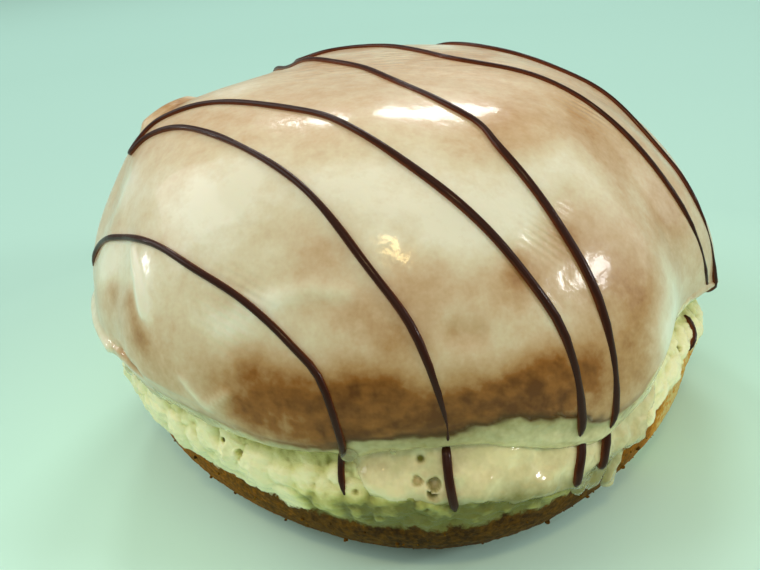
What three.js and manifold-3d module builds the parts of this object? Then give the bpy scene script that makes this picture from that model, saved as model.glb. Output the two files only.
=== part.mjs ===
// A filled yeast doughnut: a glazed dome over a pale crumb band and a browned base, with thick
// chocolate drizzle piped over it in a zigzag. It is one piece of food, so it is one solid.
// Millimetres, +Z up, -Y is the front. The origin is the middle of the flat spot it rests on.
import * as THREE from "three";
import { mergeVertices } from "three/addons/utils/BufferGeometryUtils.js";
import Module from "manifold-3d";

// driving dimensions
const rimRadius = 47.5; // widest part of the dome
const rimHeight = 25.4; // where the dome is widest
const totalHeight = 53.8;
const tuckDepth = 4.6; // the dome curls in under its rim to a crease
const overhang = 3.7;
const bandBulge = 1.9;
const crustRadius = 43.7; // where the pale band meets the browned base
const crustHeight = 10.8;
const baseRadius = 33.8; // flat spot that it stands on
const summitLean = -6.9; // the highest point lies left of the middle
const crownPower = 2.94; // how flat the top of the dome is
const cheekPower = 2.14; // how full its sides are
const plan = { x: 1.18, y: -0.29 }; // from the dome's axis to the middle of the whole outline

// where the outline leaves a true circle: azimuth and spread in degrees, size in mm
const rimRadiusBumps = [
  { at: -35, spread: 13, size: -3.8 }, // drawn in at the right of the front
  { at: 1, spread: 8, size: 1.7 },
  { at: 141, spread: 16, size: -2.8 },
];
const rimHeightBumps = [
  { at: -151, spread: 31, size: 0.9 },
  { at: -108, spread: 12, size: -1.8 }, // a lip of glaze hangs down
  { at: -85, spread: 12, size: 0.9 },
  { at: -61, spread: 14.5, size: -4.4 }, // the glaze has run down over the band
  { at: -1, spread: 18, size: -6.9 }, // the dome sags at the right
];
const crustRadiusBumps = [
  { at: -84, spread: 25, size: 4.1 },
  { at: -135, spread: 25, size: -1.0 },
];
const shoulderSize = -2.4; // the shoulders are slimmer than the crown, less so at the back
const shoulderBumps = [{ at: 85, spread: 75, size: 2.35 }];

// dents and swellings of the dome: place on the unrolled skin, width and height in mm
const domeLumps = [
  { x: -40, y: -14, width: 5, size: -0.9 }, // folds at the left
  { x: -37, y: -27, width: 4, size: -0.7 },
  { x: -43, y: -2, width: 5, size: -0.8 },
  { x: -27, y: -30, width: 9, size: 0.7 },
  { x: 2, y: -22, width: 8, size: 0.5 },
  { x: 5, y: -33, width: 6, size: -0.5 },
  { x: 26, y: -22, width: 8, size: 0.6 },
  { x: -21, y: 12, width: 10, size: -2.6 }, // a broad dip behind the summit, at the left
  { x: -16, y: 18, width: 10, size: -1.7 },
  { x: -32, y: 5, width: 10, size: -0.8 },
  { x: 2, y: 28, width: 10, size: -0.6 }, // the back and the right are a little flatter
  { x: 13, y: 29, width: 10, size: -0.8 },
  { x: 34, y: 18, width: 10, size: -1.0 },
  { x: 41, y: 7, width: 10, size: -0.7 },
  { x: 46, y: -6, width: 10, size: -1.0 },
];
const bandRipple = { size: 0.35, around: 17, down: 1.5 }; // soft crumb, stretched as it rose

// unrolled skin: past the rim a distance runs down the side, over these lengths
const tuckRun = 6;
const bandRun = 11;
const crustRun = 13;

// chocolate lines as points on the unrolled skin, a point wherever the line bends
const drizzleRadius = 0.68;
const drizzleRise = 0.35; // of the middle of the line above the skin
const drizzleStep = 3;
const drizzleSides = 6;
const drizzle = [
  [
    [-45, -13.4], [-43.5, -15.4], [-40.3, -19.6], [-38, -22.3], [-35.9, -24.6], [-32.5, -28], [-28.4, -31.8],
    [-23.4, -36.5], [-17.8, -40.6], [-12.6, -44.2], [-9, -46.6], [-9.4, -50], [-11.3, -54.4], [-11.6, -58.2],
  ],
  [
    [4.2, -61.6], [3.4, -57.6], [3.4, -53], [3, -48.2], [1, -46], [-3.2, -41.8], [-8.4, -32.6],
    [-14.5, -24.8], [-22.5, -16.2], [-28.2, -12.6], [-31.8, -11.2], [-34.4, -10.7], [-35.8, -9.8],
    [-34.4, -9.2], [-32.4, -8.4], [-30, -7.2], [-25.5, -8.3], [-18.3, -10.5], [-10.4, -15.7], [-3.6, -21.3],
    [1.3, -27.5], [8.6, -36], [14.2, -41], [18, -43.2], [19.6, -46.5], [22.2, -50.4], [22.2, -54.2],
    [23, -57.6],
  ],
  [
    [28.5, -55.2], [27, -52], [26.6, -49], [23.6, -43.5], [22.4, -39.2], [20, -35.2], [16.2, -28],
    [15, -24], [11.6, -19.3], [7.4, -12.4], [2.8, -2.6], [-2.4, 4.2], [-7, 11], [-11.5, 18.5], [-16, 26.5],
    [-19, 33], [-22, 40], [-20.5, 42.5], [-17.5, 38], [-13, 29.5], [-9.3, 22.5], [-5.5, 19.5], [0, 17.5],
    [6.2, 12.5], [11.4, 5.5], [16.1, -1], [24.4, -5.5], [30.2, -11.2], [36.2, -17.2], [39, -19.7],
    [42, -19.3],
  ],
  [
    [48, -16.4], [44.5, -17], [41.8, -15], [41.5, -9], [38.3, -3.2], [33, 2.8], [26.5, 8.5], [19.5, 14],
    [14.5, 21], [10.5, 30], [6, 39], [3, 47], [7, 50], [15, 45], [25, 35], [35, 22], [39.8, 14], [42.2, 9.3],
    [44, 6.5], [46, 5], [49, 4], [53, 3],
  ],
  [[48.3, -22.1], [49.5, -22.9], [49.7, -25], [49.2, -27.9]], // a piece left under the rim at the right
];

// body mesh
const sectors = 66;
const domeRings = 12;
const tuckRings = 3;
const bandRings = 5;
const crustRings = 5;

const radians = THREE.MathUtils.degToRad;

function bumps(azimuth, list) {
  let sum = 0;
  for (const { at, spread, size } of list) {
    const away = THREE.MathUtils.euclideanModulo(azimuth - at + 180, 360) - 180;
    sum += size * Math.exp(-((away / spread) ** 2));
  }
  return sum;
}

// A point of the plain skin. Station 0 to 1 is the dome from its summit to its rim, 1 to 2 the tuck
// under it, 2 to 3 the pale band, 3 to 4 the browned base and 4 to 5 the flat spot below.
function skin(azimuth, station) {
  const radius = rimRadius + bumps(azimuth, rimRadiusBumps);
  const height = rimHeight + bumps(azimuth, rimHeightBumps);
  const crust = crustRadius + bumps(azimuth, crustRadiusBumps);
  const turn = radians(azimuth);
  let r, z, lean = 0;
  if (station <= 1) {
    const shoulder = (shoulderSize + bumps(azimuth, shoulderBumps)) * 4 * station ** 4 * (1 - station ** 4);
    r = station * (radius + shoulder);
    z = height + (totalHeight - height) * (1 - station ** crownPower) ** (1 / cheekPower);
    lean = summitLean * (1 - station ** 2);
  } else if (station <= 2) {
    const down = station - 1;
    r = radius - overhang * (1 - Math.sqrt(1 - down ** 2));
    z = height - tuckDepth * down;
  } else if (station <= 3) {
    const down = station - 2;
    r = THREE.MathUtils.lerp(radius - overhang, crust, down) + bandBulge * Math.sin(Math.PI * down);
    z = THREE.MathUtils.lerp(height - tuckDepth, crustHeight, down);
  } else if (station <= 4) {
    const curl = (station - 3) * Math.PI / 2;
    r = baseRadius + (crust - baseRadius) * Math.cos(curl);
    z = crustHeight * (1 - Math.sin(curl));
  } else {
    r = baseRadius * (5 - station);
    z = 0;
  }
  return new THREE.Vector3(r * Math.cos(turn) + lean, r * Math.sin(turn), z);
}

// How far the real surface stands out from the plain skin.
function relief(azimuth, station) {
  if (station > 3 || station === 0) return 0;
  const reach = rimRadius * station;
  const x = reach * Math.cos(radians(azimuth));
  const y = reach * Math.sin(radians(azimuth));
  let out = 0;
  for (const lump of domeLumps) {
    out += lump.size * Math.exp(-(((x - lump.x) ** 2 + (y - lump.y) ** 2) / lump.width ** 2));
  }
  if (station > 2) {
    const down = station - 2;
    const sway = 2 * Math.sin(Math.PI * bandRipple.down * down);
    const ripple = Math.sin(bandRipple.around * radians(azimuth) + sway);
    out += bandRipple.size * ripple * Math.sin(Math.PI * down);
  }
  return out;
}

// The way out of the skin, square to a small step around it and a small step down it.
function outward(azimuth, station) {
  const summit = 0.02;
  const from = Math.max(station, summit);
  const around = skin(azimuth + 1, from).sub(skin(azimuth - 1, from));
  const down = skin(azimuth, Math.min(from + 0.01, 4)).sub(skin(azimuth, from - 0.01));
  return down.cross(around).normalize();
}

function surface(azimuth, station, raised = 0) {
  const out = raised + relief(azimuth, station);
  const point = skin(azimuth, station);
  if (out !== 0) point.addScaledVector(outward(azimuth, station), out);
  point.x -= plan.x;
  point.y -= plan.y;
  return point;
}

// The solid of a closed three.js geometry. Its shared vertices are merged, and the empty triangles at
// its poles left out.
function solidOf(wasm, geometry) {
  const bare = new THREE.BufferGeometry();
  bare.setAttribute("position", geometry.getAttribute("position"));
  bare.setIndex(geometry.getIndex());
  const merged = mergeVertices(bare, 1e-4);
  const corners = merged.getIndex().array;
  const kept = [];
  for (let i = 0; i < corners.length; i += 3) {
    const [a, b, c] = corners.slice(i, i + 3);
    if (a !== b && b !== c && c !== a) kept.push(a, b, c);
  }
  const vertProperties = Float32Array.from(merged.getAttribute("position").array);
  return new wasm.Manifold(new wasm.Mesh({ numProp: 3, vertProperties, triVerts: Uint32Array.from(kept) }));
}

// Stations of the rings of vertices from summit to base, closer together where the skin turns more.
function ringStations() {
  const rings = [];
  for (let i = 0; i < domeRings; i++) rings.push(Math.sin((i / domeRings) * Math.PI / 2) ** (2 / crownPower));
  for (let i = 0; i < tuckRings; i++) rings.push(1 + Math.sin((i / tuckRings) * Math.PI / 2));
  for (let i = 0; i < bandRings; i++) rings.push(2 + i / bandRings);
  for (let i = 0; i < crustRings; i++) rings.push(3 + i / crustRings);
  rings.push(4, 5);
  return rings;
}

// The body is a sphere whose every ring is moved to its station on the doughnut.
function makeBody() {
  const stations = ringStations();
  const geometry = new THREE.SphereGeometry(1, sectors, stations.length - 1);
  const places = geometry.getAttribute("position");
  for (let i = 0; i < places.count; i++) {
    const ring = Math.floor(i / (sectors + 1));
    const sector = (i % (sectors + 1)) % sectors;
    const point = surface((sector / sectors) * 360 - 180, stations[ring]);
    places.setXYZ(i, point.x, point.y, point.z);
  }
  return geometry;
}

// A point of the unrolled skin as azimuth and station.
function place(x, y) {
  const azimuth = THREE.MathUtils.radToDeg(Math.atan2(y, x));
  const radius = rimRadius + bumps(azimuth, rimRadiusBumps);
  const past = Math.hypot(x, y) - radius;
  if (past <= 0) return [azimuth, 1 + past / radius];
  if (past <= tuckRun) return [azimuth, 1 + past / tuckRun];
  if (past <= tuckRun + bandRun) return [azimuth, 2 + (past - tuckRun) / bandRun];
  return [azimuth, 3 + (past - tuckRun - bandRun) / crustRun];
}

const smoothLine = (points) => new THREE.CatmullRomCurve3(points, false, "centripetal");

// One line of chocolate: a six-sided rope laid along the skin.
function makeDrizzle(points) {
  const flat = smoothLine(points.map(([x, y]) => new THREE.Vector3(x, y, 0)));
  const steps = Math.max(3, Math.ceil(flat.getLength() / drizzleStep));
  const spots = flat.getSpacedPoints(steps).map(({ x, y }) => surface(...place(x, y), drizzleRise));
  const path = smoothLine(spots);
  const section = new THREE.Shape().absarc(0, 0, drizzleRadius, 0, 2 * Math.PI);
  return new THREE.ExtrudeGeometry(section, { steps, extrudePath: path, curveSegments: drizzleSides });
}

const wasm = await Module();
wasm.setup();

let whole = solidOf(wasm, makeBody());
for (const points of drizzle) whole = whole.add(solidOf(wasm, makeDrizzle(points)));

// What the joins leave apart from the body, such as a closed pocket, is dropped.
const parts = whole.decompose().sort((a, b) => b.volume() - a.volume());
const joined = parts[0].getMesh();
const geometry = new THREE.BufferGeometry();
geometry.setAttribute("position", new THREE.BufferAttribute(Float32Array.from(joined.vertProperties), 3));
geometry.setIndex(new THREE.BufferAttribute(Uint32Array.from(joined.triVerts), 1));
geometry.computeVertexNormals();

const glazedDough = new THREE.MeshStandardMaterial({ color: 0xd9c9a3, roughness: 0.25, metalness: 0 });
const doughnut = new THREE.Mesh(geometry, glazedDough);
doughnut.name = "doughnut";

const group = new THREE.Group();
group.add(doughnut);

export default group;
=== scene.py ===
import math
import random

import bmesh
import bpy
from mathutils import Matrix, Vector, noise
from mathutils.bvhtree import BVHTree


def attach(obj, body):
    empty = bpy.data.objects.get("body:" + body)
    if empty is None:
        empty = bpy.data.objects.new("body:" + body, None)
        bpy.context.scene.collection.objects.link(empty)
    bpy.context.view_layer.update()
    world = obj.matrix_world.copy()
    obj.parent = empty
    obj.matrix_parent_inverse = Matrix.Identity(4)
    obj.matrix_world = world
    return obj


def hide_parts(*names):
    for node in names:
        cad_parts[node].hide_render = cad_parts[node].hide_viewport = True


# A filled yeast doughnut. Everything is worked out in millimetres and put down in metres.
# +Z is up, -Y is the front, and the doughnut rests on the floor at z = 0.

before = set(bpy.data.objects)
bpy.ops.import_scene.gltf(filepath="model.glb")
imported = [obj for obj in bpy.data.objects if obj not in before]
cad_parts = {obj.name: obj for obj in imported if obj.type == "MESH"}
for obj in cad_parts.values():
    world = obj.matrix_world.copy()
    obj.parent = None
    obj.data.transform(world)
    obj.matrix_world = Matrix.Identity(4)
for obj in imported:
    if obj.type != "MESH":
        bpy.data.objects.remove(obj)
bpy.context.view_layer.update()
millimetre = 0.001
noise.seed_set(11)  # noise vectors are drawn from this seed, so every run makes the same doughnut

# the doughnut's own form, the same sizes as its solid
form = {
    "rimRadius": 47.5,
    "rimHeight": 25.4,
    "totalHeight": 53.8,
    "tuckDepth": 4.6,
    "overhang": 3.7,
    "bandBulge": 1.9,
    "crustRadius": 43.7,
    "crustHeight": 10.8,
    "baseRadius": 33.8,
    "summitLean": -6.9,
    "crownPower": 2.94,
    "cheekPower": 2.14,
    "middle": Vector((1.18, -0.29, 0)),  # from the dome's axis to the middle of the outline
    # azimuth in degrees, spread in degrees, size in mm
    "rimRadiusBumps": [(-35, 13, -3.8), (1, 8, 1.7), (141, 16, -2.8)],
    "rimHeightBumps": [(-151, 31, 0.9), (-108, 12, -1.8), (-85, 12, 0.9), (-61, 14.5, -4.4), (-1, 18, -6.9)],
    "crustRadiusBumps": [(-84, 25, 4.1), (-135, 25, -1.0)],
    "shoulderSize": -2.4,
    "shoulderBumps": [(85, 75, 2.35)],
    # unrolled skin: past the rim, a distance runs down the side over these lengths
    "tuckRun": 6,
    "bandRun": 11,
    "crustRun": 13,
}
# swellings and dents of the dome: x and y on the unrolled skin, width and size in mm
domeLumps = [
    (-40, -14, 5, -0.9),
    (-37, -27, 4, -0.7),
    (-43, -2, 5, -0.8),
    (-27, -30, 9, 0.7),
    (2, -22, 8, 0.5),
    (5, -33, 6, -0.5),
    (26, -22, 8, 0.6),
    (-21, 12, 10, -2.6),
    (-16, 18, 10, -1.7),
    (-32, 5, 10, -0.8),
    (2, 28, 10, -0.6),
    (13, 29, 10, -0.8),
    (34, 18, 10, -1.0),
    (41, 7, 10, -0.7),
    (46, -6, 10, -1.0),
]


# A bell: 1 in the middle, fading out over the width.
def hump(value, middle, width):
    return math.exp(-(((value - middle) / width) ** 2))


def bumps(azimuth, places):
    total = 0
    for at, width, size in places:
        away = (azimuth - at + 180) % 360 - 180
        total += size * hump(away, 0, width)
    return total


def mix(low, high, share):
    return low + (high - low) * share


# A soft step from 0 to 1 between two values.
def soft(low, high, value):
    share = max(0.0, min(1.0, (value - low) / (high - low)))
    return share * share * (3 - 2 * share)


# Waves of different lengths added up, each a length and a height in mm.
def waves(point, sizes):
    return sum(height * noise.noise(point / length) for length, height in sizes)


# A value that changes round the doughnut, read off a list of (azimuth, value) from -180 to 180.
def around(azimuth, marks):
    for (fromAt, low), (toAt, high) in zip(marks, marks[1:]):
        if azimuth <= toAt:
            return mix(low, high, soft(fromAt, toAt, azimuth))
    return marks[-1][1]


# Station 0 to 1 is the dome from summit to rim, 1 to 2 its tuck, 2 to 3 the pale band,
# 3 to 4 the browned base and 4 to 5 the flat spot below.
def skin(azimuth, station):
    radius = form["rimRadius"] + bumps(azimuth, form["rimRadiusBumps"])
    height = form["rimHeight"] + bumps(azimuth, form["rimHeightBumps"])
    crust = form["crustRadius"] + bumps(azimuth, form["crustRadiusBumps"])
    turn = math.radians(azimuth)
    lean = 0
    if station <= 1:
        shoulder = form["shoulderSize"] + bumps(azimuth, form["shoulderBumps"])
        away = station * (radius + shoulder * 4 * station**4 * (1 - station**4))
        fall = (1 - station ** form["crownPower"]) ** (1 / form["cheekPower"])
        up = height + (form["totalHeight"] - height) * fall
        lean = form["summitLean"] * (1 - station**2)
    elif station <= 2:
        down = station - 1
        away = radius - form["overhang"] * (1 - math.sqrt(1 - down**2))
        up = height - form["tuckDepth"] * down
    elif station <= 3:
        down = station - 2
        away = mix(radius - form["overhang"], crust, down) + form["bandBulge"] * math.sin(math.pi * down)
        up = mix(height - form["tuckDepth"], form["crustHeight"], down)
    elif station <= 4:
        curl = (station - 3) * math.pi / 2
        away = form["baseRadius"] + (crust - form["baseRadius"]) * math.cos(curl)
        up = form["crustHeight"] * (1 - math.sin(curl))
    else:
        away = form["baseRadius"] * (5 - station)
        up = 0
    return Vector((away * math.cos(turn) + lean, away * math.sin(turn), up)) - form["middle"]


# The way out of the skin, square to it.
def outward(azimuth, station):
    start = min(max(station, 0.02), 3.98)  # clear of the summit and the flat spot
    sideways = skin(azimuth + 1, start) - skin(azimuth - 1, start)
    down = skin(azimuth, start + 0.01) - skin(azimuth, start - 0.01)
    return down.cross(sideways).normalized()


# A point of the unrolled skin, in mm, as azimuth and station.
def place(x, y):
    azimuth = math.degrees(math.atan2(y, x))
    radius = form["rimRadius"] + bumps(azimuth, form["rimRadiusBumps"])
    past = math.hypot(x, y) - radius
    if past <= 0:
        return azimuth, 1 + past / radius
    if past <= form["tuckRun"]:
        return azimuth, 1 + past / form["tuckRun"]
    past -= form["tuckRun"]
    if past <= form["bandRun"]:
        return azimuth, 2 + past / form["bandRun"]
    return azimuth, 3 + (past - form["bandRun"]) / form["crustRun"]


# How far a station lies down the skin from another one, in mm.
def runFrom(azimuth, start, station):
    return math.copysign((skin(azimuth, station) - skin(azimuth, start)).length, station - start)


def domeRelief(azimuth, station):
    reach = form["rimRadius"] * station
    x = reach * math.cos(math.radians(azimuth))
    y = reach * math.sin(math.radians(azimuth))
    total = 0
    for atX, atY, width, size in domeLumps:
        total += size * math.exp(-((x - atX) ** 2 + (y - atY) ** 2) / width**2)
    return total


# A station from a share of the way from summit to underside, along marks of (share, station).
def stationAt(share, marks):
    for (fromShare, fromStation), (toShare, toStation) in zip(marks, marks[1:]):
        if share <= toShare + 1e-9:
            along = min(1.0, (share - fromShare) / (toShare - fromShare))
            if toStation == 1:  # the rings lie evenly along the curve of the dome
                return math.sin(along * math.pi / 2) ** (2 / form["crownPower"])
            return mix(fromStation, toStation, along)
    return marks[-1][1]


# A closed skin: a ball whose rings of vertices are moved to their stations, then out along their normals.
# Its faces are cut finer round the given places of (azimuth, station, reach in mm), all below the dome.
def makeSkin(sizes, outBy, finePlaces):
    shape = bmesh.new()
    bmesh.ops.create_uvsphere(shape, u_segments=sizes["rounds"], v_segments=sizes["rings"], radius=1)

    def placeOf(vert):
        way = vert.co.normalized()
        share = math.acos(max(-1.0, min(1.0, way.z))) / math.pi
        return math.degrees(math.atan2(way.y, way.x)), stationAt(share, sizes["marks"])

    spots = [(skin(azimuth, station), reach) for azimuth, station, reach in finePlaces]
    near = set()
    for vert in shape.verts:
        azimuth, station = placeOf(vert)
        if station > 0.9 and any((skin(azimuth, station) - spot).length < reach for spot, reach in spots):
            near.add(vert)
    edges = [edge for edge in shape.edges if edge.verts[0] in near and edge.verts[1] in near]
    bmesh.ops.subdivide_edges(shape, edges=edges, cuts=2, use_grid_fill=True)
    places = [placeOf(vert) for vert in shape.verts]
    for vert, (azimuth, station) in zip(shape.verts, places):
        vert.co = skin(azimuth, station)
    shape.normal_update()
    moves = [vert.normal * outBy(*spot, vert.co) for vert, spot in zip(shape.verts, places)]
    for vert, move in zip(shape.verts, moves):
        vert.co += move
    return shape, places


# Turns a shape in mm into a piece in metres.
def finishPiece(shape, name, material):
    bmesh.ops.scale(shape, vec=(millimetre,) * 3, verts=shape.verts)
    mesh = bpy.data.meshes.new(name)
    shape.to_mesh(mesh)
    shape.free()
    mesh.materials.append(material)
    mesh.shade_smooth()
    piece = bpy.data.objects.new(name, mesh)
    bpy.context.scene.collection.objects.link(piece)
    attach(piece, "root")
    print("made", name, len(mesh.polygons), "faces")
    return piece


# colours and materials

def colour(code):
    channels = [int(code[i:i + 2], 16) / 255 for i in (1, 3, 5)]
    return tuple(c / 12.92 if c <= 0.04045 else ((c + 0.055) / 1.055) ** 2.4 for c in channels) + (1,)


# Adds a node. Settings go by input name or number or by property, and "stops" are a ramp's colours.
def add(tree, kind, settings=None, links=None):
    node = tree.nodes.new(kind)
    for name, value in (settings or {}).items():
        if name == "stops":
            elements = node.color_ramp.elements
            while len(elements) < len(value):
                elements.new(0.5)
            for element, (position, code) in zip(elements, value):
                element.position = position
                element.color = colour(code)
        elif isinstance(name, int) or name in node.inputs:
            node.inputs[name].default_value = value
        else:
            setattr(node, name, value)
    for name, source in (links or {}).items():
        tree.links.new(source, node.inputs[name])
    return node


def newMaterial(name, settings):
    material = bpy.data.materials.new(name)
    material.use_nodes = True
    tree = material.node_tree
    tree.nodes.clear()
    output = add(tree, "ShaderNodeOutputMaterial")
    surface = add(tree, "ShaderNodeBsdfPrincipled", settings)
    tree.links.new(surface.outputs["BSDF"], output.inputs["Surface"])
    return material, tree, surface


# Grain sizes are given in mm: a noise of scale 1 has one blob a metre, so a blob of 4 mm is 1000 / 4.
def grain(size):
    return 1000 / size


# Noises added to a value, each a blob size in mm and the share by which it moves the value.
def stirred(tree, where, value, mottling):
    for size, share in mottling:
        cloud = add(
            tree, "ShaderNodeTexNoise", {"Scale": grain(size), "Detail": 3.0, "Roughness": 0.6},
            {"Vector": where})
        part = add(
            tree, "ShaderNodeMath", {"operation": "MULTIPLY_ADD", 1: share, 2: -share / 2},
            {0: cloud.outputs["Fac"]})
        value = add(tree, "ShaderNodeMath", {"operation": "ADD"}, {0: value, 1: part.outputs[0]}).outputs[0]
    return value


# Sugar glaze, poured warm and set: translucent and glossy, whiter where it lies thick, and the
# browned crust shows through where it is thin.
glazeLook = {
    "dome": [
        (0.0, "#643a08"),
        (0.2, "#935f24"),
        (0.4, "#b89260"),
        (0.6, "#d0b68e"),
        (0.8, "#e0d5b2"),
        (1.0, "#efecd2"),
    ],
    "domeMottling": [(4.0, 0.3), (1.5, 0.22), (12.0, 0.16), (0.5, 0.09)],
    "domeRoughness": 0.34,
    "bandThick": "#ece2ae",
    "bandThin": "#867d3c",
    "bandMottling": [(3.6, 1.0), (1.1, 0.35)],
    "bandRoughness": 0.13,
    # painted shade at the end of the browned top, under the overhang
    "wetEdge": "#4a3208",
    # painted shade inside the small holes
    "pit": "#6f6a18",
    "surface": {
        "IOR": 1.45,
        "Specular IOR Level": 0.2,
        "Subsurface Weight": 0.25,
        "Subsurface Radius": (1.0, 0.7, 0.45),
        "Subsurface Scale": 1.6 * millimetre,
        "Coat Roughness": 0.12,
    },
    # patterns of the surface, in mm: fine ripples, scored lines, drawn streaks and the waves of the band
    "ripple": 3.0,
    "hatch": 0.9,
    "streak": 1.1,
    "streakStretch": (0.22, 1, 1),
    "wave": 3.0,
    "waveShare": 9.0,
    "bumpStrength": 0.4,
    "bumpDepth": 0.22,
}
# what each vertex of the glaze tells its material
glazeLayers = ("cream", "bandCream", "overBand", "wetEdge", "pit", "hatch", "drawn", "shine")


def sugarGlaze():
    material, tree, surface = newMaterial("sugarGlaze", glazeLook["surface"])
    where = add(tree, "ShaderNodeTexCoord").outputs["Object"]
    layers = {}
    for name in glazeLayers:
        layers[name] = add(tree, "ShaderNodeAttribute", {"attribute_name": name}).outputs["Fac"]
    dome = add(
        tree, "ShaderNodeValToRGB", {"stops": glazeLook["dome"]},
        {"Fac": stirred(tree, where, layers["cream"], glazeLook["domeMottling"])})
    band = add(
        tree, "ShaderNodeMix",
        {"data_type": "RGBA", 6: colour(glazeLook["bandThin"]), 7: colour(glazeLook["bandThick"])},
        {0: stirred(tree, where, layers["bandCream"], glazeLook["bandMottling"])})
    glazed = add(
        tree, "ShaderNodeMix", {"data_type": "RGBA"},
        {0: layers["overBand"], 6: dome.outputs["Color"], 7: band.outputs[2]})
    # painted shade under the overhang and in the small holes is laid over the glaze's colour
    for name in ("wetEdge", "pit"):
        glazed = add(
            tree, "ShaderNodeMix", {"data_type": "RGBA", 7: colour(glazeLook[name])},
            {0: layers[name], 6: glazed.outputs[2]})
    tree.links.new(glazed.outputs[2], surface.inputs["Base Color"])
    wetShineAndShade = add(
        tree, "ShaderNodeMapRange",
        {"To Min": glazeLook["domeRoughness"], "To Max": glazeLook["bandRoughness"]},
        {"Value": layers["overBand"]})
    tree.links.new(wetShineAndShade.outputs[0], surface.inputs["Roughness"])
    tree.links.new(layers["shine"], surface.inputs["Coat Weight"])
    ripple = add(
        tree, "ShaderNodeTexNoise", {"Scale": grain(glazeLook["ripple"]), "Detail": 3.0, "Roughness": 0.5},
        {"Vector": where})
    hatch = add(  # diagonal bands of scale 1 lie 0.36 m apart
        tree, "ShaderNodeTexWave",
        {"wave_type": "BANDS", "bands_direction": "DIAGONAL", "Scale": grain(glazeLook["hatch"]) * 0.36,
         "Distortion": 1.0, "Detail": 1.0, "Detail Scale": 0.5},
        {"Vector": where})
    along = add(tree, "ShaderNodeMapping", {"Scale": glazeLook["streakStretch"]}, {"Vector": where})
    streak = add(
        tree, "ShaderNodeTexNoise", {"Scale": grain(glazeLook["streak"]), "Detail": 2.0, "Roughness": 0.6},
        {"Vector": along.outputs["Vector"]})
    wave = add(
        tree, "ShaderNodeTexNoise", {"Scale": grain(glazeLook["wave"]), "Detail": 2.0, "Roughness": 0.45},
        {"Vector": where})
    height = ripple.outputs["Fac"]
    patterns = (hatch, "hatch", 1.0), (streak, "drawn", 1.0), (wave, "overBand", glazeLook["waveShare"])
    for pattern, name, share in patterns:
        shown = add(
            tree, "ShaderNodeMath", {"operation": "MULTIPLY"}, {0: pattern.outputs["Fac"], 1: layers[name]})
        height = add(
            tree, "ShaderNodeMath", {"operation": "MULTIPLY_ADD", 1: share},
            {0: shown.outputs[0], 2: height}).outputs[0]
    bump = add(
        tree, "ShaderNodeBump",
        {"Strength": glazeLook["bumpStrength"], "Distance": glazeLook["bumpDepth"] * millimetre},
        {"Height": height})
    tree.links.new(bump.outputs["Normal"], surface.inputs["Normal"])
    tree.links.new(bump.outputs["Normal"], surface.inputs["Coat Normal"])
    return material


# Fried yeast dough: above the frying fat a pale, soft crumb wetted by the glaze, and below it a
# dry brown crust of fine grain.
doughLook = {
    # the crumb's colours; its painted light and shade move it along them
    "crumb": [(0.1, "#6f6e28"), (0.34, "#b2b15e"), (0.56, "#e4e39c"), (0.8, "#fbf8c4")],
    "crumbMottling": [(2.2, 0.3), (0.6, 0.12)],
    "crumbRoughness": 0.42,
    "crumbCoat": 0.5,
    "crust": [(0.12, "#352003"), (0.36, "#63420a"), (0.6, "#a0630f"), (0.84, "#c98a2a"), (1.0, "#cdbc78")],
    "crustMottling": [(3.0, 0.3), (0.7, 0.75)],
    "crustRoughness": 0.8,
    # the crust's ragged upper edge, and the values between which crumb turns to crust
    "teeth": [(0.9, 0.5), (0.35, 0.3)],
    "stillCrumb": 0.42,
    "allCrust": 0.58,
    "surface": {
        "Specular IOR Level": 0.12,
        "Subsurface Weight": 0.2,
        "Subsurface Radius": (1.0, 0.8, 0.4),
        "Subsurface Scale": 1.5 * millimetre,
        "Coat Roughness": 0.16,
    },
    "pore": 0.8,
    "bumpStrength": 0.7,
    "bumpDepth": 0.35,
}


def friedDough():
    material, tree, surface = newMaterial("friedDough", doughLook["surface"])
    where = add(tree, "ShaderNodeTexCoord").outputs["Object"]
    tones = {}
    kinds = (("crumbTone", "crumbMottling"), ("crustTone", "crustMottling"), ("crusted", "teeth"))
    for name, mottling in kinds:
        layer = add(tree, "ShaderNodeAttribute", {"attribute_name": name})
        tones[name] = stirred(tree, where, layer.outputs["Fac"], doughLook[mottling])
    crumb = add(tree, "ShaderNodeValToRGB", {"stops": doughLook["crumb"]}, {"Fac": tones["crumbTone"]})
    crust = add(tree, "ShaderNodeValToRGB", {"stops": doughLook["crust"]}, {"Fac": tones["crustTone"]})
    fried = add(
        tree, "ShaderNodeMapRange", {"From Min": doughLook["stillCrumb"], "From Max": doughLook["allCrust"]},
        {"Value": tones["crusted"]})
    both = add(
        tree, "ShaderNodeMix", {"data_type": "RGBA"},
        {0: fried.outputs[0], 6: crumb.outputs["Color"], 7: crust.outputs["Color"]})
    tree.links.new(both.outputs[2], surface.inputs["Base Color"])
    rough = add(
        tree, "ShaderNodeMapRange",
        {"To Min": doughLook["crumbRoughness"], "To Max": doughLook["crustRoughness"]},
        {"Value": fried.outputs[0]})
    tree.links.new(rough.outputs[0], surface.inputs["Roughness"])
    wetShineAndShade = add(
        tree, "ShaderNodeMapRange", {"To Min": doughLook["crumbCoat"], "To Max": 0.0},
        {"Value": fried.outputs[0]})
    tree.links.new(wetShineAndShade.outputs[0], surface.inputs["Coat Weight"])
    pores = add(
        tree, "ShaderNodeTexNoise", {"Scale": grain(doughLook["pore"]), "Detail": 4.0, "Roughness": 0.7},
        {"Vector": where})
    bump = add(
        tree, "ShaderNodeBump",
        {"Strength": doughLook["bumpStrength"], "Distance": doughLook["bumpDepth"] * millimetre},
        {"Height": pores.outputs["Fac"]})
    tree.links.new(bump.outputs["Normal"], surface.inputs["Normal"])
    tree.links.new(bump.outputs["Normal"], surface.inputs["Coat Normal"])
    return material


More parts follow.
